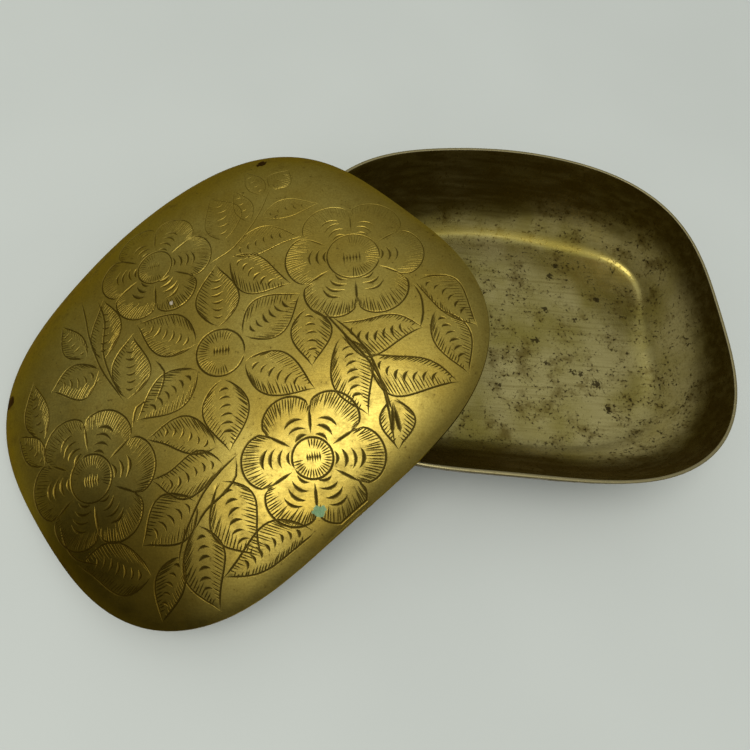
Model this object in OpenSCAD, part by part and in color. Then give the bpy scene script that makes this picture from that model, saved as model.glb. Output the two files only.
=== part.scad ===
// Vanity trinket box: a pressed brass tray with sloping walls, and a loose domed lid.
// The lid lies as it is stored open: turned, one end on the table, the other on the tray's rim.
// Origin: centre of the tray's flat base. +X along the tray's length, +Z up. Millimetres.

/* [Outline] */
// Half of the box's length, along X
half_length = 63.5; // [55:0.5:75]
// How much longer than wide the outline is
stretch = 0.093; // [0.05:0.005:0.15]
// How much rounder the corners of the far long side are than those of the near side
far_roundness = 0.022; // [0:0.002:0.03]
// How much fuller the left end is than the right end
end_skew = 0.012; // [0:0.002:0.02]
// How square the corners are
squareness = 0.045; // [0.02:0.005:0.05]
// How flat the sides are between the corners
side_flatness = 0.012; // [0:0.002:0.016]

/* [Sheet] */
// Thickness of the brass sheet
sheet_t = 1.0; // [0.8:0.1:1.4]

/* [Tray] */
// Height of the tray's rim above the table
tray_h = 30; // [28:1:31]
// Floor's length as a share of the rim's length
floor_share_x = 0.84; // [0.75:0.01:0.92]
// Floor's width as a share of the rim's width
floor_share_y = 0.65; // [0.55:0.01:0.75]
// How far the floor sits towards the far side
floor_shift_y = 2; // [0:0.5:3]
// How curved the walls are: 0 is a straight slope, 1 a quarter of an ellipse
wall_curve = 0.6; // [0.3:0.05:0.9]

/* [Lid] */
// Height that the dome rises above the lid's edge
dome_rise = 10; // [7:0.5:13]
// How far out the dome stays flat
dome_fullness = 2.4; // [2:0.1:3]
// How steeply the dome meets its edge, smaller is steeper
dome_edge = 0.75; // [0.6:0.05:0.95]
// Distance from the lid's edge in to the locating band
band_inset = 2.6; // [2:0.1:3.5]
// Depth of the locating band below the lid's edge
band_drop = 2; // [1.5:0.1:2.5]
// Thickness of the locating band
band_t = 0.8; // [0.6:0.1:1]
// Leg of the solder fillet that holds the band
solder_leg = 0.9; // [0.6:0.1:1.2]

/* [Lid's place when open] */
// Lean of the lid
lid_tilt = 18.4; // [18:0.2:19]
// Compass direction that the lid leans towards
lid_lean_dir = -161; // [-163:1:-159]
// Turn of the lid against the tray
lid_turn = 43.6; // [42:0.2:45]
// Centre of the lid's edge plane, along X
lid_x = -77.6; // [-79:0.2:-77]
// Centre of the lid's edge plane, along Y
lid_y = -23.8; // [-25:0.2:-23]
// Centre of the lid's edge plane, along Z
lid_z = 21.7; // [21.7:0.1:23]

/* [Hidden] */
// points round each ring
SIDES = 96;
// rings between floor and rim, and between the dome's centre and its edge
WALL_RINGS = 9;
DOME_RINGS = 12;
// radius of the rounding at the tray's rim, and how deep joined pieces bite into each other
rim_round = 0.3;
bite = 0.05;
brass = "#8a7a3c";
solder_grey = "#8f8d80";

// Distance of the outline from the centre in direction t, before it is sized
function lobe(t) = 1 + stretch * cos(2 * t) - far_roundness * sin(3 * t) - end_skew * cos(3 * t)
    - squareness * cos(4 * t) - side_flatness * cos(6 * t);
lobe_reach = max([for (i = [0 : SIDES - 1]) lobe(i * 360 / SIDES) * cos(i * 360 / SIDES)]);
function rim_r(t) = half_length * lobe(t) / lobe_reach;
// Outline point in direction t, moved in by an inset
function rim_at(t, inset = 0) = (rim_r(t) - inset) * [cos(t), sin(t)];
function angles() = [for (i = [0 : SIDES - 1]) i * 360 / SIDES];

// A ring of points: the floor's outline at w = 0, the rim's outline at w = 1, on the wall between
function along(w) = (1 - wall_curve) * w + wall_curve * sin(90 * w);
function height(w) = (1 - wall_curve) * w + wall_curve * (1 - cos(90 * w));
function wall_ring(w, inset, z_low, z_high) = [for (t = angles())
    let (rim = rim_at(t, inset), base = [rim_at(t)[0] * floor_share_x, rim_at(t)[1] * floor_share_y + floor_shift_y],
        p = base + (rim - base) * along(w))
    [p[0], p[1], z_low + (z_high - z_low) * height(w)]];
function flat_ring(inset, z) = [for (t = angles()) let (p = rim_at(t, inset)) [p[0], p[1], z]];

// Height of the dome's underside at share rho of the way out, and at an inset from the edge
function dome_z(rho) = dome_rise * pow(max(0, 1 - pow(rho, dome_fullness)), dome_edge);
function under_z(t, inset) = dome_z(1 - inset / rim_r(t));
function dome_ring(rho, lift) = [for (t = angles())
    let (p = rim_at(t) * rho) [p[0], p[1], dome_z(rho) + lift]];

// A skin over closed rings of equal length, joined in order; closed with end faces or into a loop
module skin(rings, loop = false) {
    n = len(rings[0]);
    m = len(rings);
    sides = [for (j = [0 : m - (loop ? 1 : 2)], i = [0 : n - 1])
        let (a = j * n, b = ((j + 1) % m) * n, k = (i + 1) % n)
        each [[a + i, b + i, b + k], [a + i, b + k, a + k]]];
    caps = loop ? [] : [[for (i = [0 : n - 1]) i], [for (i = [n - 1 : -1 : 0]) (m - 1) * n + i]];
    polyhedron([for (r = rings) each r], concat(sides, caps), convexity = 6);
}

// Puts a lid piece, drawn flat about its own centre, where the open lid lies
module lid_placed() {
    translate([lid_x, lid_y, lid_z])
        rotate(a = lid_tilt, v = [-sin(lid_lean_dir), cos(lid_lean_dir), 0])
            rotate([0, 0, lid_turn])
                children();
}

// Pan pressed from one sheet: flat floor, crease, then walls that steepen up to a plain rim
module tray_shell() {
    outside = [for (i = [0 : WALL_RINGS]) wall_ring(i / WALL_RINGS, 0, 0, tray_h - rim_round)];
    lip = [flat_ring(rim_round, tray_h), flat_ring(sheet_t - rim_round, tray_h)];
    inside = [for (i = [WALL_RINGS : -1 : 0])
        wall_ring(i / WALL_RINGS, sheet_t, sheet_t, tray_h - rim_round)];
    color(brass) skin(concat(outside, lip, inside));
}

// Dome pressed from one sheet, open underneath
module lid_plate() {
    rhos = [for (i = [1 : DOME_RINGS]) sin(90 * i / DOME_RINGS)];
    under = [for (rho = rhos) dome_ring(rho, 0)];
    over = [for (i = [DOME_RINGS - 1 : -1 : 0]) dome_ring(rhos[i], sheet_t)];
    color(brass) lid_placed() skin(concat(under, over));
}

// Strip on edge inside the lid, which drops inside the tray's rim and keeps the lid in place
module lid_locating_band() {
    inner = band_inset + band_t;
    tops = [for (inset = [band_inset, inner])
        [for (t = angles()) let (p = rim_at(t, inset)) [p[0], p[1], under_z(t, inset) + bite]]];
    color(brass) lid_placed()
        skin([flat_ring(band_inset, -band_drop), tops[0], tops[1], flat_ring(inner, -band_drop)],
            loop = true);
}

// Fillet of solder in the corner between the band's inner face and the lid
module lid_solder_seam() {
    face = band_inset + band_t - bite;
    foot = face + bite + solder_leg;
    color(solder_grey) lid_placed() skin([
        [for (t = angles()) let (p = rim_at(t, face)) [p[0], p[1], under_z(t, face) - solder_leg]],
        [for (t = angles()) let (p = rim_at(t, face)) [p[0], p[1], under_z(t, face) + bite]],
        [for (t = angles()) let (p = rim_at(t, foot)) [p[0], p[1], under_z(t, foot) + bite]]],
        loop = true);
}

tray_shell();
lid_plate();
lid_locating_band();
lid_solder_seam();
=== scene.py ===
"""Vanity trinket box in aged brass: a pressed tray, and an engraved domed lid that leans on its rim."""

import math

import bpy
import numpy as np
from mathutils import Euler, Matrix, Vector
from mathutils.geometry import delaunay_2d_cdt


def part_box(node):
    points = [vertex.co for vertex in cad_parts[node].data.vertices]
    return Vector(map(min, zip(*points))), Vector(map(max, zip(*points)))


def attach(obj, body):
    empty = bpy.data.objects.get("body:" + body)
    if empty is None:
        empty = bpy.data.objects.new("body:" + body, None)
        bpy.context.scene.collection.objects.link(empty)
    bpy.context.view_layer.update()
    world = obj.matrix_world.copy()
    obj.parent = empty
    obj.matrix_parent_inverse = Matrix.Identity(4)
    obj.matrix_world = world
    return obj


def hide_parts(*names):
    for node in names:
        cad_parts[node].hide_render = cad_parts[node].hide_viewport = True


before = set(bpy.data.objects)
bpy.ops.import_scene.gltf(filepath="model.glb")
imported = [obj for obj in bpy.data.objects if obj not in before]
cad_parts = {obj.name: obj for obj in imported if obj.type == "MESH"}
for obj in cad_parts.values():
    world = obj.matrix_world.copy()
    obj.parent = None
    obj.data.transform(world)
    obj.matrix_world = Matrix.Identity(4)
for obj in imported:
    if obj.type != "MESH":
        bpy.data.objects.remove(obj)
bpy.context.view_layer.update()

MM = 0.001
rng = np.random.default_rng(31)

# ---------------------------------------------------------------- driving sizes, in millimetres
SHEET = 1.0                     # thickness of the brass sheet
HALF_LENGTH = 63.5              # half of the box's length
RIM_ROUND = 0.3                 # rounding of a cut and filed sheet edge
DOME_RISE, DOME_FULLNESS, DOME_EDGE = 10.0, 2.4, 0.75
FLOOR_SHARE = (0.84, 0.65)      # floor's size as a share of the rim's
FLOOR_SHIFT = 2.0               # floor's offset towards the far side
WALL_CURVE = 0.6                # 0 is a straight slope, 1 a quarter of an ellipse
BAND_INSET, BAND_THICK, BAND_DROP, SOLDER_LEG = 2.6, 0.8, 2.0, 0.9
LID_TILT, LID_LEAN, LID_TURN = 18.4, -161.0, 43.6    # degrees: lean, its direction, turn


# How much longer than wide the outline is, how much rounder its far side, how much fuller its left
# end, how square its corners and how flat its sides
STRETCH, FAR_ROUNDNESS, END_SKEW, SQUARENESS, SIDE_FLATNESS = 0.093, 0.022, 0.012, 0.045, 0.012
CAD_SIDES, CAD_DOME_RINGS = 96, 12      # points round each of the CAD's rings, rings of its dome


def corners(node):
    """A CAD node's lowest and highest corners, in millimetres."""
    return tuple(np.array(corner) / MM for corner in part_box(node))


# ---------------------------------------------------------------- outline, dome and pan
def lobe(t):
    """Distance of the outline from the centre, unsized: a circle with a cosine of 2t for stretch, a
    sine and cosine of 3t for uneven sides and ends, and cosines of 4t and 6t for square corners and
    flat sides."""
    return (1 + STRETCH * np.cos(2 * t) - FAR_ROUNDNESS * np.sin(3 * t) - END_SKEW * np.cos(3 * t)
            - SQUARENESS * np.cos(4 * t) - SIDE_FLATNESS * np.cos(6 * t))


cad_turns = np.linspace(0, 2 * np.pi, CAD_SIDES, endpoint=False)
LOBE_REACH = (lobe(cad_turns) * np.cos(cad_turns)).max()


def rim_radius(t):
    """Radius of the rim in direction t."""
    return HALF_LENGTH * lobe(t) / LOBE_REACH


def rim_points(t, inset=0.0):
    """Points of the outline in directions t, moved in by an inset, as an (n, 2) array."""
    radius = rim_radius(t) - inset
    return np.stack([radius * np.cos(t), radius * np.sin(t)], axis=-1)


def handwork(x, y, size, height, seed):
    """Slight unevenness of hand-worked sheet: a sum of nine sine waves in random directions,
    whose lengths run from size to three times size."""
    dice = np.random.default_rng(seed)
    total = np.zeros_like(x)
    for _ in range(9):
        way, phase = dice.uniform(0, 2 * np.pi, 2)
        k = 2 * np.pi / (size * dice.uniform(1, 3))
        total += np.sin(k * (x * np.cos(way) + y * np.sin(way)) + phase)
    return height * total / 3


def smooth_dome(rho):
    """Height of the dome's underside at share rho of the way out to the rim: rise times
    (1 - rho^fullness)^edge."""
    return DOME_RISE * np.maximum(0, 1 - rho ** DOME_FULLNESS) ** DOME_EDGE


def share_out(x, y):
    """How far out a point lies, as a share of the way to the rim."""
    return np.hypot(x, y) / rim_radius(np.arctan2(y, x))


def dome_under(x, y):
    """Height of the dome's underside, with the unevenness of hand work, which fades at the edge."""
    rho = share_out(x, y)
    return smooth_dome(rho) + handwork(x, y, 9, 0.035, 4) * np.clip(4 * (1 - rho), 0, 1)


# ---------------------------------------------------------------- mesh helpers
def make_piece(name, points, faces, smooth_under=None):
    """A mesh piece at the origin from points in millimetres. Edges sharper than smooth_under
    degrees stay sharp; with none given, all is smooth."""
    mesh = bpy.data.meshes.new(name)
    mesh.from_pydata((np.asarray(points) * MM).tolist(), [], [list(map(int, f)) for f in faces])
    mesh.validate()
    mesh.shade_smooth()
    if smooth_under:
        mesh.set_sharp_from_angle(angle=math.radians(smooth_under))
    piece = bpy.data.objects.new(name, mesh)
    bpy.context.scene.collection.objects.link(piece)
    return piece


def paint(piece, name, values):
    """Stores one number per vertex as an attribute that a material reads."""
    attribute = piece.data.attributes.new(name, "FLOAT", "POINT")
    attribute.data.foreach_set("value", np.asarray(values, dtype=np.float32))


def ring_faces(rings, count, loop=False):
    """Quads between consecutive rings of count points each, as an (m, 4) array."""
    j = np.arange(rings if loop else rings - 1)[:, None]
    i = np.arange(count)[None, :]
    here, there = j * count, ((j + 1) % rings) * count
    k = (i + 1) % count
    return np.stack([here + i, there + i, there + k, here + k], axis=-1).reshape(-1, 4)


# ---------------------------------------------------------------- tray
RIM_SIDES = 384
FLOOR_RINGS, WALL_RINGS = 30, 46
CREASE_PASSES = 10      # more passes make the bend between floor and wall rounder
END_PASSES = 70         # passes at the end away from the lid, where the bend is roundest
FAR_SIDE = 0.13         # how much further out the floor goes along its far side
FAR_CORNER = 0.16       # how much further out the floor goes in its squarest corner
CORNER_AT, CORNER_SPREAD = np.radians(36), 0.33     # that corner's direction and width, radians
HIGHLIGHT_BAND_AT = 0.08        # share of the way up the wall of a band along the far crease, rubbed smooth and painted lighter as a highlight


def wall_ring(t, w, inset, low, high):
    """A ring of the wall: the floor's outline at w = 0, the rim at w = 1, and between them a mix
    of a straight slope and a quarter of an ellipse."""
    along = (1 - WALL_CURVE) * w + WALL_CURVE * np.sin(np.pi / 2 * w)
    rise = (1 - WALL_CURVE) * w + WALL_CURVE * (1 - np.cos(np.pi / 2 * w))
    rim = rim_points(t, inset)
    fuller = (1 + FAR_CORNER * np.exp(-((t - CORNER_AT) / CORNER_SPREAD) ** 2)
              + FAR_SIDE * np.clip(np.sin(t), 0, 1) ** 2)
    base = rim_points(t) * FLOOR_SHARE * fuller[:, None] + (0, FLOOR_SHIFT)
    return np.column_stack([base + (rim - base) * along, np.full(len(t), low + (high - low) * rise)])


def tray_side(t, inset, low, high):
    """Rings from the centre of the floor out to just under the rim, and each ring's share of the
    way up the wall."""
    floor_edge = wall_ring(t, 0, inset, low, high)
    rings = [floor_edge * (share, share, 1) + (0, FLOOR_SHIFT * (1 - share), 0)
             for share in np.linspace(0.04, 0.98, FLOOR_RINGS)]
    climb = np.linspace(0, 1, WALL_RINGS) ** 1.15
    rings += [wall_ring(t, w, inset, low, high) for w in climb]
    return np.array(rings), np.append(np.zeros(FLOOR_RINGS), climb)


def soften(rings, passes):
    """Rounds the crease: each ring moves towards the mean of its neighbours, ends held."""
    rings = rings.copy()
    for _ in range(passes):
        rings[1:-1] = 0.5 * rings[1:-1] + 0.25 * (rings[:-2] + rings[2:])
    return rings


def rounded_crease(rings, t):
    """The crease rounded a little all round, and much more towards the end away from the lid."""
    towards_end = np.clip(np.cos(t - 0.25), 0, 1)[:, None] ** 1.5
    return (1 - towards_end) * soften(rings, CREASE_PASSES) + towards_end * soften(rings, END_PASSES)


def build_tray():
    """The pan as one closed skin: underside outwards, over the rim, and back in to the floor."""
    t = np.linspace(0, 2 * np.pi, RIM_SIDES, endpoint=False)
    top = corners("tray_shell")[1][2]
    outside, out_share = tray_side(t, 0, 0, top - RIM_ROUND)
    inside, in_share = tray_side(t, SHEET, SHEET, top - RIM_ROUND)
    outside, inside = rounded_crease(outside, t), rounded_crease(inside, t)
    wave = handwork(inside[..., 0], inside[..., 1], 10, 0.03, 9)
    inside[..., 2] += wave * (in_share[:, None] < 0.9)
    lip = [np.column_stack([rim_points(t, SHEET * part), np.full(RIM_SIDES, top - drop)])
           for part, drop in ((0.1, 0.1), (0.3, 0.0), (0.7, 0.0), (0.9, 0.1))]
    rings = np.concatenate([outside, lip, inside[::-1]])
    runs = len(outside), len(lip), len(inside)
    on_lip, on_inside = np.repeat([0, 1, 0], runs), np.repeat([0, 0, 1], runs)[:, None]
    share = np.concatenate([out_share, np.ones(len(lip)), in_share[::-1]])[:, None]
    # how far up each wall it turns dark, from age and from painted shade: high at the +X end, a little
    # higher along the far side
    dark_from = 0.02 + 0.6 * np.clip(np.cos(t), 0, 1) ** 1.5 + 0.2 * np.clip(np.sin(t), 0, 1) ** 2
    far_only = np.clip(1.6 * np.sin(t) - 0.4, 0, 1)
    # a band low on the far wall, rubbed smooth, whose colour the material paints lighter as a highlight
    polish_and_highlight = (np.exp(-((share - HIGHLIGHT_BAND_AT) / HIGHLIGHT_BAND_AT) ** 2) * np.clip(share / 0.03, 0, 1)
              * far_only * on_inside)
    count, total = RIM_SIDES, len(rings) * RIM_SIDES
    poles = [[0, FLOOR_SHIFT, 0], [0, FLOOR_SHIFT, inside[0, 0, 2]]]
    points = np.concatenate([rings.reshape(-1, 3), poles])
    i = np.arange(count)
    k = (i + 1) % count
    base_fan = np.stack([np.full(count, total), i, k], 1)
    floor_fan = np.stack([i + total - count, np.full(count, total + 1), k + total - count], 1)
    faces = [*ring_faces(len(rings), count)[:, ::-1], *base_fan[:, ::-1], *floor_fan[:, ::-1]]
    tray = make_piece("tray_pan", points, faces, 35)
    paint(tray, "tarnish_and_shade", np.append((share - dark_from).ravel(), [-0.5, -0.5]))
    paint(tray, "wall", np.append(np.repeat(share[:, 0], count), [0, 0]))
    paint(tray, "polish_and_highlight", np.append(polish_and_highlight.ravel(), [0, 0]))
    paint(tray, "lip", np.append(np.repeat(on_lip, count), [0, 0]))
    return tray


# ---------------------------------------------------------------- engraving: what the graver cuts
# Each cut is a run of points and the half widths there. The graver's V-shaped cut has the same
# slope everywhere, so a wider cut is deeper, and it fades to nothing at both ends.
CUT_SLOPE = 0.46        # depth of a cut per millimetre of half width
OUTLINE_W, HATCH_W, CRESCENT_W, STEM_W = 0.55, 0.36, 1.0, 0.7     # widths
HATCH_STEP = 0.8        # spacing of a leaf's veins
EDGE_MARGIN = 1.3       # strip along the lid's edge that no cut reaches
MOST_WORN = 0.55        # what rubbing has left of the cuts where the lid is handled most
cuts = []


def wear(p):
    """The share of a cut that rubbing has left: 1 over most of the lid, eased down to MOST_WORN
    across the corner that is handled most."""
    far = np.clip((0.75 * p[..., 0] + 0.65 * p[..., 1] - 14) / 30, 0, 1)
    return 1 - (1 - MOST_WORN) * far * far * (3 - 2 * far)


def cut(points, width, taper=2.5):
    """Records one cut, held just inside the lid's edge. Its width is the given one times
    taper * sin(pi s), no more than 1, so a taper of 1 makes a crescent."""
    points = np.asarray(points, dtype=float)
    limit = rim_radius(np.arctan2(points[:, 1], points[:, 0])) - EDGE_MARGIN
    points = points * np.minimum(1, limit / (np.hypot(*points.T) + 1e-6))[:, None]
    points += rng.normal(0, 0.01, points.shape)
    s = np.linspace(0, 1, len(points))
    half = width / 2 * np.minimum(1, taper * np.sin(np.pi * s)) * wear(points.mean(0))
    half[[0, -1]] = 0
    cuts.append((points, half))


def curve_through(anchors, step=1.2):
    """A smooth run of points through anchors: Catmull-Rom pieces."""
    a = np.asarray(anchors, dtype=float)
    a = np.concatenate([[2 * a[0] - a[1]], a, [2 * a[-1] - a[-2]]])
    runs = []
    for p0, p1, p2, p3 in zip(a[:-3], a[1:-2], a[2:-1], a[3:]):
        s = np.linspace(0, 1, max(3, int(np.hypot(*(p2 - p1)) / step)))[:-1, None]
        runs.append(0.5 * (2 * p1 + (p2 - p0) * s + (2 * p0 - 5 * p1 + 4 * p2 - p3) * s ** 2
                           + (3 * p1 - p0 - 3 * p2 + p3) * s ** 3))
    return np.concatenate([*runs, [a[-2]]])


def fringe(edge, inward, length, step=HATCH_STEP, width=HATCH_W):
    """A row of short, slightly uneven cuts along an edge. Each starts on the edge or just outside
    it and runs inward, for about the length given there."""
    along = np.concatenate([[0], np.cumsum(np.hypot(*np.diff(edge, axis=0).T))])
    for s in np.arange(0.5 * step, along[-1], step):
        s += rng.normal(0, 0.1 * step)
        at = np.array([np.interp(s, along, edge[:, axis]) for axis in (0, 1)])
        way = np.array([np.interp(s, along, inward[:, axis]) for axis in (0, 1)])
        way += rng.normal(0, 0.05, 2)
        way /= np.hypot(*way)
        reach = np.interp(s, along, length) * rng.uniform(0.72, 1.12)
        start = at - way * rng.uniform(-0.1, 0.55)
        cut([start, start + way * 0.22 * reach, start + way * 0.6 * reach, start + way * reach],
            width * rng.uniform(0.8, 1.15), 1.3)


def crescent(middle, ahead, half, bend, width=CRESCENT_W):
    """One deep curved stroke across a petal or leaf. It is half long each way, and its ends are
    bend further ahead than its middle."""
    side = np.array([-ahead[1], ahead[0]])
    u = np.linspace(-1, 1, 7) + rng.normal(0, 0.03, 7)
    slant = rng.normal(0, 0.12)
    run = middle + np.outer(u * half, side) + np.outer(bend * u * u + slant * half * u, ahead)
    cut(run, width * rng.uniform(0.8, 1.15), 1.0)


def leaf(base, tip, left, right, sway=0.0, ticks=None, hatch=0.55):
    """A leaf: two bowed edges that meet in a point, veins cut in from both edges and slanting back
    to the base, and crescents up the middle. left and right are how far the edges bow from the
    straight line between base and tip; sway bends that line into an S."""
    base, tip = np.array(base, dtype=float), np.array(tip, dtype=float)
    length = np.hypot(*(tip - base))
    ahead = (tip - base) / length
    side = np.array([-ahead[1], ahead[0]])
    s = np.linspace(0, 1, max(11, int(length / 1.1)))
    spine = base + np.outer(s * length, ahead) + np.outer(sway * np.sin(2 * np.pi * s), side)
    bow = np.sin(np.pi * s ** 0.88) ** 0.9 * (1.08 - 0.3 * s ** 3)
    for reach, sign in ((left, 1), (right, -1)):
        edge = spine + np.outer(sign * reach * bow, side)
        edge[-1] += ahead * 0.9 + side * sign * -0.25
        cut(edge, OUTLINE_W, 4)
        inward = np.tile(-sign * side - 1.0 * ahead, (len(s), 1))
        first = len(s) // 6
        fringe(edge[first:-1], inward[first:-1], (1.4 * hatch * reach * bow + 0.9)[first:-1])
    half = 0.14 * (left + right)
    middle = (left - right) / 2
    ticks = max(3, int(length * 0.62 / 1.75)) if ticks is None else ticks
    for s0 in np.linspace(0.14, 0.74, ticks):
        aside = sway * math.sin(2 * math.pi * s0) + middle * math.sin(math.pi * s0)
        swell = 0.7 + 0.45 * math.sin(math.pi * s0)
        crescent(base + ahead * length * s0 + side * aside, ahead, half * swell, 0.45 * half, 0.85)


def ring(centre, radius, hatch_from=0, hatch_to=360):
    """A flower's eye: a circle, cuts from it towards the middle, and a scribbled core."""
    t = np.radians(np.linspace(0, 360, 34)) + rng.uniform(0, 6)
    circle = centre + radius * np.stack([np.cos(t), np.sin(t)], 1)
    cut(circle[:20], OUTLINE_W * 1.15, 5)
    cut(circle[17:], OUTLINE_W * 1.15, 5)
    count = int(math.radians(hatch_to - hatch_from) * radius / 0.82)
    for angle in np.radians(np.linspace(hatch_from, hatch_to, count)):
        way = np.array([math.cos(angle), math.sin(angle)])
        deep = rng.uniform(0.42, 0.58)
        shares = 1.03, 0.85, 1 - 0.7 * deep, 1 - deep
        cut([centre + way * radius * share for share in shares], HATCH_W, 1.3)
    core = centre + rng.normal(0, 0.06 * radius, 2)
    for shift in np.linspace(-0.3, 0.3, 6) * radius:
        middle = core + np.array([0.8, -0.6]) * shift
        half = np.array([0.6, 0.8]) * rng.uniform(0.18, 0.34) * radius
        cut([middle - half, middle, middle + half], 0.13 * radius, 1.4)


def flower(centre, eye, notch, reach, turn, hatch_from=0, hatch_to=360):
    """A six-petalled flower. Its edge is notch + (reach - notch) * |sin 3(t - turn)|^0.55, so that
    petals bulge between six dividing cuts. Each petal has a hatched fringe and nested crescents."""
    centre = np.array(centre, dtype=float)
    ring(centre, eye, hatch_from, hatch_to)
    for n in range(6):
        first = math.radians(turn + 60 * n)
        t = np.linspace(first, first + math.pi / 3, 21)
        bulge = np.abs(np.sin(3 * (t - math.radians(turn)))) ** 0.55
        radius = notch + (reach * rng.uniform(0.96, 1.05) - notch) * bulge
        way = np.stack([np.cos(t), np.sin(t)], 1)
        edge = centre + way * radius[:, None]
        cut(edge, OUTLINE_W * 1.15, 5)
        lean = rng.uniform(-0.35, 0.35) * np.stack([-way[:, 1], way[:, 0]], 1)
        fringe(edge, lean - way, 0.33 * reach * (0.3 + 0.7 * bulge), 0.74)
        spoke = eye + (notch - eye) * np.array([[0.1], [0.4], [0.7], [1.05]])
        cut(centre + way[0] * spoke, 0.85, 1.2)
        aim = first + math.pi / 6 + rng.normal(0, 0.05)
        ahead = np.array([math.cos(aim), math.sin(aim)])
        for k, share in enumerate((0.13, 0.4, 0.68, 0.93)[:rng.integers(3, 5)]):
            out = eye + (0.76 * reach - eye) * share
            half = reach * (0.105, 0.14, 0.155, 0.15)[k]
            crescent(centre + ahead * out, ahead, half, -0.42 * half, 1.05)


def stem(*anchors, width=STEM_W):
    """A long curved cut through anchors."""
    cut(curve_through(anchors), width)


def bud(base, tip, left, right):
    """A fan-shaped bud: a leaf outline with two long tapering cuts up the middle."""
    leaf(base, tip, left, right, ticks=0, hatch=0.45)
    base, tip = np.array(base, dtype=float), np.array(tip, dtype=float)
    ahead = (tip - base) / np.hypot(*(tip - base))
    side = np.array([-ahead[1], ahead[0]])
    for push in (-1.44, 1.44):
        cut([base + (tip - base + side * push) * share for share in (0.05, 0.35, 0.6, 0.7)], 1.2, 1.2)


def engrave():
    """The whole design: a star of six leaves round the middle, four flowers, and sprays between."""
    ring(np.zeros(2), 6.3, 20, 250)
    star = (26, 5.4), (24.5, 5.8), (25, 5.6), (25.5, 5.6), (26, 5.0), (25, 5.6)
    for n, (reach, half) in enumerate(star):
        angle = math.radians(-66 + 60.4 * n)
        way = np.array([math.cos(angle), math.sin(angle)])
        leaf(way * 7.2, way * reach, half, half)
    flower((-1, -36), 4.9, 12.2, 16.6, 51, 150, 420)
    flower((-44.5, 0), 6.0, 13.6, 18.0, 60, -60, 120)
    flower((2.5, 34.5), 5.1, 12.4, 16.0, 58, 60, 260)
    flower((42, -3.5), 6.8, 13.8, 18.0, 53, -130, 60)
    # spray between the lower flower and the left one
    stem((-13, -23), (-19, -23), (-25.5, -24), (-32, -26.5), (-37, -29), (-41, -32))
    stem((-14, -23), (-17, -26.5), (-22, -27.5), (-28, -27.5), (-33, -29))
    leaf((-16, -18), (-27.5, -4), 1.8, 6.6, 0.6)
    leaf((-17.5, -22.3), (-32.5, -12.5), 6.0, 3.4, -1.2)
    leaf((-28, -24.5), (-44, -22.5), 5.2, 6.4)
    leaf((-20.5, -25), (-25, -43.5), 4.4, 7.4, 1.0)
    leaf((-31.5, -28.5), (-40.5, -45.5), 4.2, 5.8, 0.8)
    leaf((-39, -31), (-52.5, -38), 2.8, 4.2)
    leaf((-47.5, -29), (-60.5, -13.5), 4.6, 6.4, 0.8)
    leaf((-12.5, -48.2), (-34.5, -41.5), 2.6, 5.6, -0.8)
    stem((-56, -17.5), (-60, -12), (-60.5, -7), (-58.5, -2))
    # spray between the lower flower and the right one
    stem((26, -9), (25.5, -16.5), (25.2, -26), (24, -33), (20, -42))
    stem((26.2, -12), (27, -20), (26, -28), (22, -37), (15, -47.5))
    leaf((23.5, -7), (14.5, -19), 5.4, 4.4)
    leaf((24, -19), (16, -37.3), 4.8, 5.4, 0.8)
    leaf((26.5, -16), (40.5, -30.5), 2.4, 7.4, -1.2)
    leaf((26, -27), (37.2, -46), 2.6, 7.2, -1.0)
    leaf((46.5, -29.5), (41, -46), 5.0, 4.0)
    leaf((48.5, -20), (51.3, -38.5), 6.4, 2.4, 0.6)
    bud((22.5, -39), (15.5, -47.8), 4.6, 3.4)
    stem((47.5, -20), (46.5, -24), (43.5, -28), (40, -30.5))
    # spray between the right flower and the far one
    stem((14, 22.5), (22, 21.5), (32.5, 25), (41, 30.5))
    leaf((21, 25.5), (26.5, 41), 3.4, 7.0, 0.4)
    leaf((19.5, 20.5), (35.5, 11), 6.0, 2.0, -0.6)
    leaf((19, 19.5), (25, 2), 3.0, 7.2, 0.5)
    leaf((29.5, 25), (33, 37.5), 2.2, 2.8)
    leaf((41, 30), (48.5, 32.3), 3.6, 3.6)
    leaf((38, 30), (39.5, 41.5), 2.4, 2.6)
    leaf((33, 23.5), (46, 16.5), 4.0, 2.2)
    # spray between the far flower and the left one
    stem((-26, 8), (-25.8, 15), (-25.3, 21.5), (-23, 31), (-20.5, 38), (-18.5, 45))
    stem((-25.5, 14), (-22.5, 24), (-17, 32), (-15, 40))
    leaf((-23.5, 22.5), (-14, 38), 3.2, 5.4, 0.4)
    leaf((-25, 8.5), (-14, 21.5), 4.8, 5.6, -0.4)
    leaf((-26, 21), (-39, 27), 5.6, 4.4, 0.6)
    leaf((-26.5, 27), (-27, 41.5), 4.0, 2.4)
    leaf((-48.5, 18.5), (-42.5, 34), 4.6, 3.0)
    leaf((-52.5, 13), (-54, 25.5), 2.8, 3.6)
    stem((-13.5, 11.5), (-13.5, 7), (-16.5, 4), (-20, 2.3))
    stem((-28.5, 1.5), (-24.5, 4.8), (-21, 3.8))
    stem((-15, 48), (-9, 51.5), (-3, 52), (3, 51.8), width=HATCH_W)


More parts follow.
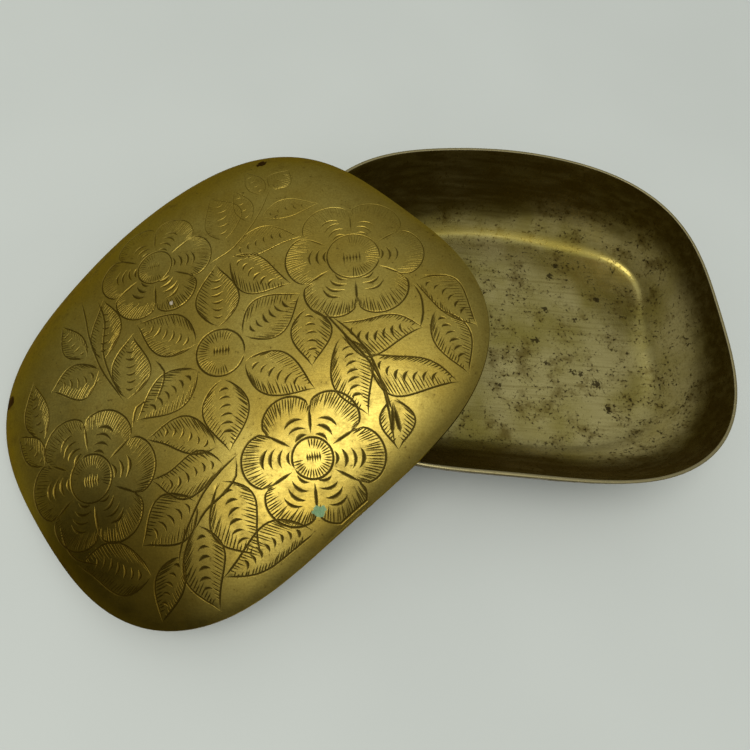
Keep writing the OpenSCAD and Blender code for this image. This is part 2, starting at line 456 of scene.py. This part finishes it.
def cut_outlines():
    """All cuts as triangulation input: for each, tip, then left, bottom and right points along it,
    then tip. Also gives the segments of every cut's bottom, with the half width at both ends."""
    points, edges, segments = [], [], []
    start = 0
    for run, half in cuts:
        step = np.diff(run, axis=0)
        step /= np.hypot(*step.T)[:, None] + 1e-9
        tangent = np.concatenate([step[:1], step[:-1] + step[1:], step[-1:]])
        tangent /= np.hypot(*tangent.T)[:, None] + 1e-9
        normal = np.stack([-tangent[:, 1], tangent[:, 0]], 1)
        inner = slice(1, -1)
        bank = half[inner, None] * normal[inner]
        m = len(run) - 2
        points += [run[:1], run[inner] + bank, run[inner], run[inner] - bank, run[-1:]]
        last = start + 3 * m + 1
        for row in range(3):
            ids = [start, *range(start + 1 + row * m, start + 1 + (row + 1) * m), last]
            edges += list(zip(ids[:-1], ids[1:]))
        segments.append(np.column_stack([run[:-1], run[1:], half[:-1], half[1:]]))
        start = last + 1
    return np.concatenate(points), edges, np.concatenate(segments)


TILE = 6.0          # the lid is searched in squares of this many millimetres
TILE_MARGIN = 1.5   # how far outside its square a cut still counts
NOWHERE_NEAR = -9.0


def inside_cuts(points, segments):
    """How far each point lies inside the nearest cut, sideways: half width less distance from the
    cut's bottom line, and negative outside."""
    best = np.full(len(points), NOWHERE_NEAR)
    middle = (segments[:, :2] + segments[:, 2:4]) / 2
    reach = np.abs(segments[:, 2:4] - segments[:, :2]).max() / 2 + TILE_MARGIN
    tile = np.floor(points / TILE).astype(int)
    for corner in np.unique(tile, axis=0):
        mine = np.nonzero((tile == corner).all(1))[0]
        centre = (corner + 0.5) * TILE
        near = segments[(np.abs(middle - centre) < TILE / 2 + reach).all(1)]
        if len(near):
            a, along = near[:, :2], near[:, 2:4] - near[:, :2]
            p = points[mine][:, None, :] - a
            t = np.clip((p * along).sum(2) / ((along ** 2).sum(1) + 1e-9), 0, 1)
            gap = np.hypot(p[..., 0] - t * along[:, 0], p[..., 1] - t * along[:, 1])
            best[mine] = (near[:, 4] + t * (near[:, 5] - near[:, 4]) - gap).max(1)
    return best


# ---------------------------------------------------------------- lid
LID_SIDES = 288
LID_GRID = 1.1      # spacing of the plain surface's points
GRID_MARGIN = 0.9   # how far those points stay from the lid's edge
CUT_MARGIN = 0.22   # how far they stay from a cut
UNDER_RINGS = 25


def lid_rotation():
    """The lean of the lid about a level line, after its turn against the tray."""
    lean = math.radians(LID_LEAN)
    axis = Vector((-math.sin(lean), math.cos(lean), 0))
    return np.array(Matrix.Rotation(math.radians(LID_TILT), 3, axis)
                    @ Matrix.Rotation(math.radians(LID_TURN), 3, "Z"))


def place_on_lid(points):
    """Moves points from the lid's own flat frame to where the lid leans."""
    return points @ lid_rotation().T + lid_centre()


def lid_centre():
    """Centre of the lid's edge plane: what the CAD lid's box leaves once the lean is known."""
    shell = []
    for rho in np.sin(np.linspace(0, np.pi / 2, CAD_DOME_RINGS + 1))[1:]:
        flat = rim_points(cad_turns) * rho
        shell += [np.column_stack([flat, np.full(CAD_SIDES, smooth_dome(rho) + lift)])
                  for lift in (0, SHEET)]
    turned = np.concatenate(shell) @ lid_rotation().T
    low, high = corners("lid_plate")
    return (low + high - turned.min(0) - turned.max(0)) / 2


def build_lid():
    """The lid as one closed skin. Its top is a triangulation of the outline with every cut's banks
    and bottom in it, lowered by the depth of the cuts; its edge and underside are plain rings."""
    engrave()
    cut_points, cut_edges, segments = cut_outlines()
    t = np.linspace(0, 2 * np.pi, LID_SIDES, endpoint=False)
    border = rim_points(t, RIM_ROUND)
    reach = np.arange(-70, 70, LID_GRID)
    gx, gy = np.meshgrid(reach, reach * math.sqrt(3) / 2)
    gx = gx + (np.arange(len(reach)) % 2)[:, None] * LID_GRID / 2
    grid = np.stack([gx.ravel(), gy.ravel()], 1)
    grid = grid[np.hypot(*grid.T) < rim_radius(np.arctan2(grid[:, 1], grid[:, 0])) - GRID_MARGIN]
    grid = grid[inside_cuts(grid, segments) < -CUT_MARGIN]
    flat = np.concatenate([border, cut_points, grid])
    loop = [(i, (i + 1) % LID_SIDES) for i in range(LID_SIDES)]
    edges = loop + [(a + LID_SIDES, b + LID_SIDES) for a, b in cut_edges]
    found, _, faces, origin, _, _ = delaunay_2d_cdt([Vector(p) for p in flat], edges, [], 0, 1e-3)
    top = np.array([tuple(v) for v in found])
    depth = np.maximum(inside_cuts(top, segments), 0)
    on_border = np.full(LID_SIDES, -1)
    for index, came_from in enumerate(origin):
        for source in came_from:
            if source < LID_SIDES:
                on_border[source] = index
    height = dome_under(*top.T) + SHEET - CUT_SLOPE * depth
    skin = [np.column_stack([top, height])]
    under = []
    for inset, drop in ((0.09, 0.09), (0, RIM_ROUND), (0, SHEET - RIM_ROUND), (0.09, SHEET - 0.09)):
        under.append(np.column_stack([rim_points(t, inset), np.full(LID_SIDES, SHEET - drop)]))
    edge_lift = dome_under(*border.T)
    for ring_points, share in zip(under, (0.85, 0.3, 0, 0)):
        ring_points[:, 2] += edge_lift * share
    for rho in np.sin(np.linspace(np.pi / 2, 0, UNDER_RINGS + 1))[1:-1]:
        flat_ring = rim_points(t, RIM_ROUND) * rho
        under.append(np.column_stack([flat_ring, dome_under(*flat_ring.T)]))
    skin += under + [np.array([[0, 0, dome_under(np.zeros(1), np.zeros(1))[0]]])]
    first = len(top)
    i = np.arange(LID_SIDES)
    k = (i + 1) % LID_SIDES
    seam = np.stack([on_border[i], first + i, first + k, on_border[k]], 1)
    pole = first + len(under) * LID_SIDES
    end = np.stack([pole - LID_SIDES + i, np.full(LID_SIDES, pole), pole - LID_SIDES + k], 1)
    faces = [*faces, *seam, *(first + ring_faces(len(under), LID_SIDES)), *end]
    points = np.concatenate(skin)
    lid = make_piece("engraved_lid", place_on_lid(points), faces, 14)
    shade = np.clip(depth / (0.5 * HATCH_W) * 1.1, 0, 1) * wear(top)
    paint(lid, "cut", np.append(shade, np.zeros(len(points) - len(top))))
    paint(lid, "outward", share_out(points[:, 0], points[:, 1]))
    return lid


def build_loop(name, corner_rings):
    """A closed strip under the lid, from its rings of corners in order."""
    count = len(corner_rings[0])
    points = place_on_lid(np.concatenate(corner_rings))
    faces = ring_faces(len(corner_rings), count, loop=True)
    return make_piece(name, points, faces[:, ::-1], 30)


def under_ring(inset, drop=None, lift=0.0):
    """A ring of points under the lid: on the dome's underside plus a lift, or at a drop below the
    edge plane."""
    t = np.linspace(0, 2 * np.pi, LID_SIDES, endpoint=False)
    flat = rim_points(t, inset)
    height = dome_under(*flat.T) + lift if drop is None else np.full(LID_SIDES, -drop)
    return np.column_stack([flat, height])


# ---------------------------------------------------------------- materials
# Marks of age, in millimetres. On the lid: x, y, radius and colour of the green corrosion, which
# comes first and isn't metallic, then of two stains at the edge and a pale fleck. In the tray: x, y
# and radius of pits.
LID_MARKS = ((-8.5, -45.5, 1.5, "#6d8a66"), (-51.5, 37.3, 1.7, "#2c210c"), (45.2, 41.2, 1.4, "#2c210c"),
             (-0.7, 21.1, 0.5, "#c9bba5"))
STAINS = ((25.8, 32.6, 0.9), (27.8, -7.5, 0.9), (30.5, -8.0, 0.8), (35.5, -11.5, 1.1), (38.1, -20, 1.0),
          (23.6, 28.3, 1.0), (48.2, -24.4, 1.1), (15.9, 3.1, 1.2), (20.5, 14.9, 0.9), (39.7, 20.7, 0.8),
          (30.8, 12, 0.8), (54.3, -8.2, 0.6), (46.1, -16, 0.7), (2.8, -14, 0.6), (19, -5, 0.7))
LOW_END = -62, -26                  # the lid's end on the table, in its own flat frame
LOW_END_FROM, LOW_END_TO = 54, 12   # distances from there where the painted shade over that end starts and is full
FILM = 0.3, 0.8     # share that the oxide film turns matt, on the tray's floor and walls


def on_lid_skin(x, y):
    """The place on the leaning lid's outer skin above x, y of its own flat frame."""
    flat = np.array([float(x)]), np.array([float(y)])
    return place_on_lid(np.array([[x, y, dome_under(*flat)[0] + SHEET]]))[0]


def linear(hex_colour):
    """A linear RGBA colour from an sRGB hex string."""
    parts = [int(hex_colour[i:i + 2], 16) / 255 for i in (1, 3, 5)]
    return tuple(p / 12.92 if p <= 0.04045 else ((p + 0.055) / 1.055) ** 2.4 for p in parts) + (1.0,)


def material(name, specular=0.5, glance="#ffffff"):
    """An empty node material; returns it, its tree and its shader. glance is the tint of the
    surface when seen at a low angle."""
    made = bpy.data.materials.new(name)
    made.use_nodes = True
    tree = made.node_tree
    tree.nodes.clear()
    output = tree.nodes.new("ShaderNodeOutputMaterial")
    shader = tree.nodes.new("ShaderNodeBsdfPrincipled")
    shader.inputs["Specular IOR Level"].default_value = specular
    shader.inputs["Specular Tint"].default_value = linear(glance)
    tree.links.new(shader.outputs["BSDF"], output.inputs["Surface"])
    return made, tree, shader


def add(tree, kind, links=(), **settings):
    """Adds a node. settings whose name starts with in_ are socket values, by number or name; the
    rest are the node's own. links are (socket, output) pairs."""
    node = tree.nodes.new("ShaderNode" + kind)
    for key, value in settings.items():
        if key.startswith("in_"):
            name = key[3:]
            node.inputs[int(name) if name.isdigit() else name.replace("_", " ")].default_value = value
        else:
            setattr(node, key, value)
    for socket, source in links:
        tree.links.new(source, node.inputs[socket])
    return node


def per_mm(size):
    """Texture scale for a pattern whose features are this many millimetres across."""
    return 1 / (size * MM)


def noise(tree, where, size, detail=4.0, roughness=0.55):
    """Noise whose blobs are about size millimetres, 0 to 1."""
    node = add(tree, "TexNoise", [("Vector", where)], in_Scale=per_mm(size), in_Detail=detail,
               in_Roughness=roughness)
    return node.outputs["Fac"]


def ramp(tree, value, low, high, out_low=0.0, out_high=1.0):
    """Maps value from low..high to out_low..out_high with eased ends."""
    node = add(tree, "MapRange", [(0, value)], interpolation_type="SMOOTHSTEP",
               in_1=low, in_2=high, in_3=out_low, in_4=out_high)
    return node.outputs[0]


def blend_colour(tree, factor, first, second):
    """Mixes two colours, each an output or a hex string."""
    node = add(tree, "Mix", [(0, factor)], data_type="RGBA")
    for socket, colour in ((6, first), (7, second)):
        if isinstance(colour, str):
            node.inputs[socket].default_value = linear(colour)
        else:
            tree.links.new(colour, node.inputs[socket])
    return node.outputs[2]


def calculate(tree, operation, first, second):
    """A maths node on two values, each an output or a number."""
    node = add(tree, "Math", operation=operation)
    for socket, value in ((0, first), (1, second)):
        if isinstance(value, (int, float)):
            node.inputs[socket].default_value = value
        else:
            tree.links.new(value, node.inputs[socket])
    return node.outputs[0]


def stretched(tree, where, turn, stretch):
    """Coordinates turned about Z and squeezed along X, so that a noise becomes lines along it."""
    node = add(tree, "Mapping", [("Vector", where)])
    node.inputs["Rotation"].default_value = Euler((0, 0, math.radians(turn)))
    node.inputs["Scale"].default_value = (1 / stretch, 1, 1)
    return node.outputs[0]


def spot(tree, where, place, radius, ragged=0.35):
    """1 within radius millimetres of a place in metres and 0 beyond, with a ragged edge."""
    away = add(tree, "VectorMath", [(0, where)], operation="DISTANCE", in_1=tuple(place)).outputs["Value"]
    sway = ragged * radius * MM
    wobble = ramp(tree, noise(tree, where, 0.9 * radius, 2), 0.3, 0.7, -sway, sway)
    return ramp(tree, calculate(tree, "ADD", away, wobble), 1.15 * radius * MM, 0.85 * radius * MM)


def engraved_brass():
    """Aged engraved brass, pressed and rubbed: a satin olive gold with fine rubbing marks, browning
    towards the edge, painted shade over the end that rests on the table, dark wax and oxide in
    every cut, and one spot of green corrosion."""
    made, tree, shader = material("aged_engraved_brass", 0.2, "#cdb97c")
    where = add(tree, "TexCoord").outputs["Object"]
    cut_in = add(tree, "Attribute", attribute_name="cut").outputs["Fac"]
    outward = add(tree, "Attribute", attribute_name="outward").outputs["Fac"]
    cloud = noise(tree, where, 24, 5)
    colour = blend_colour(tree, ramp(tree, cloud, 0.35, 0.68), "#8b7631", "#9b8943")
    mottle = noise(tree, where, 3.2, 6, 0.65)
    colour = blend_colour(tree, ramp(tree, mottle, 0.5, 0.72, 0, 0.4), colour, "#6a5824")
    grime = ramp(tree, noise(tree, where, 0.45, 3, 0.6), 0.35, 0.65)
    colour = blend_colour(tree, calculate(tree, "MULTIPLY", grime, 0.28), colour, "#5e4d1d")
    bloom_and_shade = calculate(tree, "MULTIPLY", ramp(tree, outward, 0.7, 1.0), ramp(tree, cloud, 0.3, 0.6, 0.5, 1))
    # painted shade over the end that rests on the table, darker towards it, added to the browning at the
    # edge
    away = add(tree, "VectorMath", [(0, where)], operation="DISTANCE",
               in_1=tuple(on_lid_skin(*LOW_END) * MM)).outputs["Value"]
    low_end_shade = ramp(tree, away, LOW_END_FROM * MM, LOW_END_TO * MM)
    bloom_and_shade = calculate(tree, "MAXIMUM", calculate(tree, "MULTIPLY", bloom_and_shade, 0.4),
                      calculate(tree, "MULTIPLY", low_end_shade, ramp(tree, cloud, 0.3, 0.65, 0.8, 1.0)))
    colour = blend_colour(tree, bloom_and_shade, colour, "#342703")
    freckle = noise(tree, where, 0.8, 3, 0.6)
    spots = calculate(tree, "MULTIPLY", ramp(tree, freckle, 0.64, 0.7), ramp(tree, mottle, 0.5, 0.6))
    colour = blend_colour(tree, calculate(tree, "MULTIPLY", spots, 0.6), colour, "#30240e")
    dirt = ramp(tree, cut_in, 0.1, 0.7)
    colour = blend_colour(tree, calculate(tree, "MULTIPLY", dirt, 0.8), colour, "#2f2205")
    marks = [spot(tree, where, on_lid_skin(x, y) * MM, radius) for x, y, radius, _ in LID_MARKS]
    for mark, (_, _, _, hue) in zip(marks, LID_MARKS):
        colour = blend_colour(tree, mark, colour, hue)
    tree.links.new(colour, shader.inputs["Base Color"])
    rub = noise(tree, stretched(tree, where, -40, 14), 0.35, 2)
    rough = calculate(tree, "ADD", ramp(tree, mottle, 0.35, 0.7, 0.29, 0.41),
                      calculate(tree, "MULTIPLY", dirt, 0.18))
    rough = calculate(tree, "ADD", rough, ramp(tree, rub, 0.4, 0.7, 0, 0.05))
    tree.links.new(rough, shader.inputs["Roughness"])
    tree.links.new(calculate(tree, "SUBTRACT", 0.95, marks[0]), shader.inputs["Metallic"])
    grain = calculate(tree, "ADD", calculate(tree, "MULTIPLY", rub, 0.4),
                      calculate(tree, "MULTIPLY", freckle, 0.6))
    bump = add(tree, "Bump", [("Height", grain)], in_Strength=0.35, in_Distance=0.05 * MM)
    tree.links.new(bump.outputs[0], shader.inputs["Normal"])
    return made


def stained_brass():
    """Stained pressed brass inside a pan: a khaki floor rubbed along its length, dark olive walls
    darkened by age and by painted shade, a painted highlight along the far crease, and brown-black
    pits and smudges where damp things stood."""
    made, tree, shader = material("stained_pressed_brass", 0.2, "#cdb97c")
    where = add(tree, "TexCoord").outputs["Object"]
    tarnish_and_shade = add(tree, "Attribute", attribute_name="tarnish_and_shade").outputs["Fac"]
    lip = add(tree, "Attribute", attribute_name="lip").outputs["Fac"]
    wall = add(tree, "Attribute", attribute_name="wall").outputs["Fac"]
    polish_and_highlight = add(tree, "Attribute", attribute_name="polish_and_highlight").outputs["Fac"]
    cloud = noise(tree, where, 26, 5)
    colour = blend_colour(tree, ramp(tree, cloud, 0.35, 0.65), "#7c7138", "#998e5e")
    rub = noise(tree, stretched(tree, where, 0, 22), 0.9, 5, 0.6)
    colour = blend_colour(tree, ramp(tree, rub, 0.45, 0.75, 0, 0.5), colour, "#5f5224")
    smudge = noise(tree, where, 8, 7, 0.72)
    colour = blend_colour(tree, ramp(tree, smudge, 0.48, 0.66, 0, 0.72), colour, "#4a3b10")
    pits = noise(tree, where, 1.0, 3, 0.6)
    dots = calculate(tree, "MULTIPLY", ramp(tree, pits, 0.57, 0.63), ramp(tree, smudge, 0.46, 0.56))
    fine = ramp(tree, noise(tree, where, 0.5, 2), 0.64, 0.7)
    dots = calculate(tree, "MAXIMUM", dots, calculate(tree, "MULTIPLY", fine, 0.7))
    for x, y, radius in STAINS:
        pit = spot(tree, where, (x * MM, y * MM, SHEET * MM), radius, 0.8)
        dots = calculate(tree, "MAXIMUM", dots, pit)
    colour = blend_colour(tree, calculate(tree, "MULTIPLY", dots, 0.85), colour, "#1c1408")
    ragged_noise = noise(tree, stretched(tree, where, 0, 3), 14, 3)
    ragged = calculate(tree, "ADD", tarnish_and_shade, ramp(tree, ragged_noise, 0.3, 0.7, -0.05, 0.05))
    streak = noise(tree, stretched(tree, where, 0, 12), 2.5, 4, 0.6)
    # dark olive walls: partly age and partly painted shade, starting at a height that differs round the pan
    dark = calculate(tree, "MULTIPLY", ramp(tree, ragged, -0.12, 0.26),
                     ramp(tree, streak, 0.35, 0.7, 0.97, 0.8))
    colour = blend_colour(tree, dark, colour, "#3a2d06")
    # painted highlight: the rubbed band along the far crease made lighter
    colour = blend_colour(tree, calculate(tree, "MULTIPLY", polish_and_highlight, 0.45), colour, "#b09a45")
    colour = blend_colour(tree, lip, colour, "#8a7f5c")
    tree.links.new(colour, shader.inputs["Base Color"])
    film = calculate(tree, "MULTIPLY", calculate(tree, "SUBTRACT", 1.0, lip),
                     ramp(tree, wall, 0.02, 0.3, *FILM))
    film = calculate(tree, "MULTIPLY", film, ramp(tree, dark, 0, 0.9, 1.0, 0.45))
    tree.links.new(calculate(tree, "SUBTRACT", 1.0, film), shader.inputs["Metallic"])
    rough = ramp(tree, smudge, 0.35, 0.7, 0.19, 0.42)
    rough = calculate(tree, "ADD", rough, calculate(tree, "MULTIPLY", dots, 0.3))
    rough = calculate(tree, "SUBTRACT", rough, calculate(tree, "MULTIPLY", polish_and_highlight, 0.13))
    tree.links.new(calculate(tree, "MAXIMUM", rough, 0.1), shader.inputs["Roughness"])
    height = calculate(tree, "SUBTRACT", calculate(tree, "MULTIPLY", rub, 0.4), dots)
    bump = add(tree, "Bump", [("Height", height)], in_Strength=0.3, in_Distance=0.08 * MM)
    tree.links.new(bump.outputs[0], shader.inputs["Normal"])
    return made


def band_brass():
    """Drawn brass strip: dull gold, drawn lengthwise, browned by the soldering flame."""
    made, tree, shader = material("drawn_brass_strip")
    where = add(tree, "TexCoord").outputs["Object"]
    scorch = noise(tree, where, 12, 5)
    colour = blend_colour(tree, ramp(tree, scorch, 0.4, 0.65), "#a58c4a", "#6d5627")
    tree.links.new(colour, shader.inputs["Base Color"])
    tree.links.new(ramp(tree, scorch, 0.4, 0.7, 0.36, 0.52), shader.inputs["Roughness"])
    shader.inputs["Metallic"].default_value = 1.0
    return made


def soft_solder():
    """Old tin-lead solder, run into the joint while hot: dull grey, a little lumpy, dark-skinned."""
    made, tree, shader = material("old_soft_solder")
    where = add(tree, "TexCoord").outputs["Object"]
    lumps = noise(tree, where, 1.6, 4)
    colour = blend_colour(tree, ramp(tree, lumps, 0.4, 0.65), "#8d8b80", "#5f5b4e")
    tree.links.new(colour, shader.inputs["Base Color"])
    tree.links.new(ramp(tree, lumps, 0.35, 0.7, 0.42, 0.62), shader.inputs["Roughness"])
    shader.inputs["Metallic"].default_value = 1.0
    bump = add(tree, "Bump", [("Height", lumps)], in_Strength=0.5, in_Distance=0.2 * MM)
    tree.links.new(bump.outputs[0], shader.inputs["Normal"])
    return made


def pale_table():
    """Painted board: a matt pale grey with the faintest unevenness."""
    made, tree, shader = material("matt_painted_board")
    where = add(tree, "TexCoord").outputs["Object"]
    colour = blend_colour(tree, ramp(tree, noise(tree, where, 90, 2), 0.3, 0.7), "#b6b9b5", "#b9bcb8")
    tree.links.new(colour, shader.inputs["Base Color"])
    shader.inputs["Roughness"].default_value = 0.75
    return made


# ---------------------------------------------------------------- build
tray = build_tray()
tray.data.materials.append(stained_brass())
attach(tray, "tray")
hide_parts("tray_shell")

lid = build_lid()
lid.data.materials.append(engraved_brass())
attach(lid, "lid")
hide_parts("lid_plate")

BITE = 0.05             # how deep the band and its solder run into the lid
band_inner = BAND_INSET + BAND_THICK
band = build_loop("locating_band", [under_ring(BAND_INSET, BAND_DROP), under_ring(BAND_INSET, lift=BITE),
                                    under_ring(band_inner, lift=BITE), under_ring(band_inner, BAND_DROP)])
band.data.materials.append(band_brass())
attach(band, "lid")
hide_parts("lid_locating_band")

seam_face = band_inner - BITE
solder = build_loop("solder_seam", [under_ring(seam_face, lift=-SOLDER_LEG),
                                    under_ring(seam_face, lift=BITE),
                                    under_ring(band_inner + SOLDER_LEG, lift=BITE)])
solder.data.materials.append(soft_solder())
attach(solder, "lid")
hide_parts("lid_solder_seam")

# ---------------------------------------------------------------- floor, camera and light
FLOOR_HALF = 1.2
table = bpy.data.meshes.new("table_top")
table.from_pydata([(x * FLOOR_HALF, y * FLOOR_HALF, 0) for x, y in ((-1, -1), (1, -1), (1, 1), (-1, 1))],
                  [], [(0, 1, 2, 3)])
floor = bpy.data.objects.new("table_top", table)
bpy.context.scene.collection.objects.link(floor)
table.materials.append(pale_table())

CAMERA_AT = Vector((-64.6, -100.7, 189.3)) * MM
LOOK_AT = Vector((-39.0, -20.2, 15.0)) * MM
CAMERA_ROLL = 20.1      # degrees
FOCAL_SHARE = 0.907     # focal length as a share of the sensor's width

camera_data = bpy.data.cameras.new("camera")
camera_data.sensor_width = 36
camera_data.lens = 36 * FOCAL_SHARE
camera_data.clip_start = 0.01
camera = bpy.data.objects.new("camera", camera_data)
bpy.context.scene.collection.objects.link(camera)
aim = (LOOK_AT - CAMERA_AT).to_track_quat("-Z", "Y")
camera.matrix_world = (Matrix.Translation(CAMERA_AT) @ aim.to_matrix().to_4x4()
                       @ Matrix.Rotation(math.radians(CAMERA_ROLL), 4, "Z"))
bpy.context.scene.camera = camera


def softbox(name, place, target, size, power, hex_colour):
    """A square soft light at a place, aimed at a target, both in metres."""
    data = bpy.data.lights.new(name, "AREA")
    data.shape = "RECTANGLE"
    data.size, data.size_y = size
    data.energy = power
    data.color = linear(hex_colour)[:3]
    lamp = bpy.data.objects.new(name, data)
    bpy.context.scene.collection.objects.link(lamp)
    aim = (Vector(target) - Vector(place)).to_track_quat("-Z", "Y")
    lamp.matrix_world = Matrix.Translation(place) @ aim.to_matrix().to_4x4()


GLOW_FROM = Vector((-0.23, -0.27, 0.93)).normalized()     # middle of the bright part of the room
GLOW_STRENGTH, GLOW_FOCUS = 1.5, 4.0
WINDOW_WAY = 0.53, 0.85, 0              # level direction of the room's lighter far side
SHADY_SIDE, WINDOW_SIDE = 0.04, 0.56    # the room's brightness away from that side and towards it
softbox("over", GLOW_FROM * 1.2, (-0.03, -0.02, 0), (0.72, 0.72), 6.9, "#fffdf6")

world = bpy.data.worlds.new("studio")
bpy.context.scene.world = world
world.use_nodes = True
sky = world.node_tree
way = add(sky, "TexCoord").outputs["Generated"]
toward = add(sky, "VectorMath", [(0, way)], operation="DOT_PRODUCT", in_1=tuple(GLOW_FROM)).outputs["Value"]
lobe_share = calculate(sky, "POWER", calculate(sky, "MAXIMUM", toward, 0.0), GLOW_FOCUS)
glow = calculate(sky, "MULTIPLY", lobe_share, GLOW_STRENGTH)
window = add(sky, "VectorMath", [(0, way)], operation="DOT_PRODUCT", in_1=WINDOW_WAY).outputs["Value"]
far_side = ramp(sky, window, -0.75, 0.6, SHADY_SIDE, WINDOW_SIDE)
sky.nodes["Background"].inputs["Color"].default_value = linear("#f4f9f6")
sky.links.new(calculate(sky, "ADD", glow, far_side), sky.nodes["Background"].inputs["Strength"])

bpy.context.scene.view_settings.view_transform = "Standard"
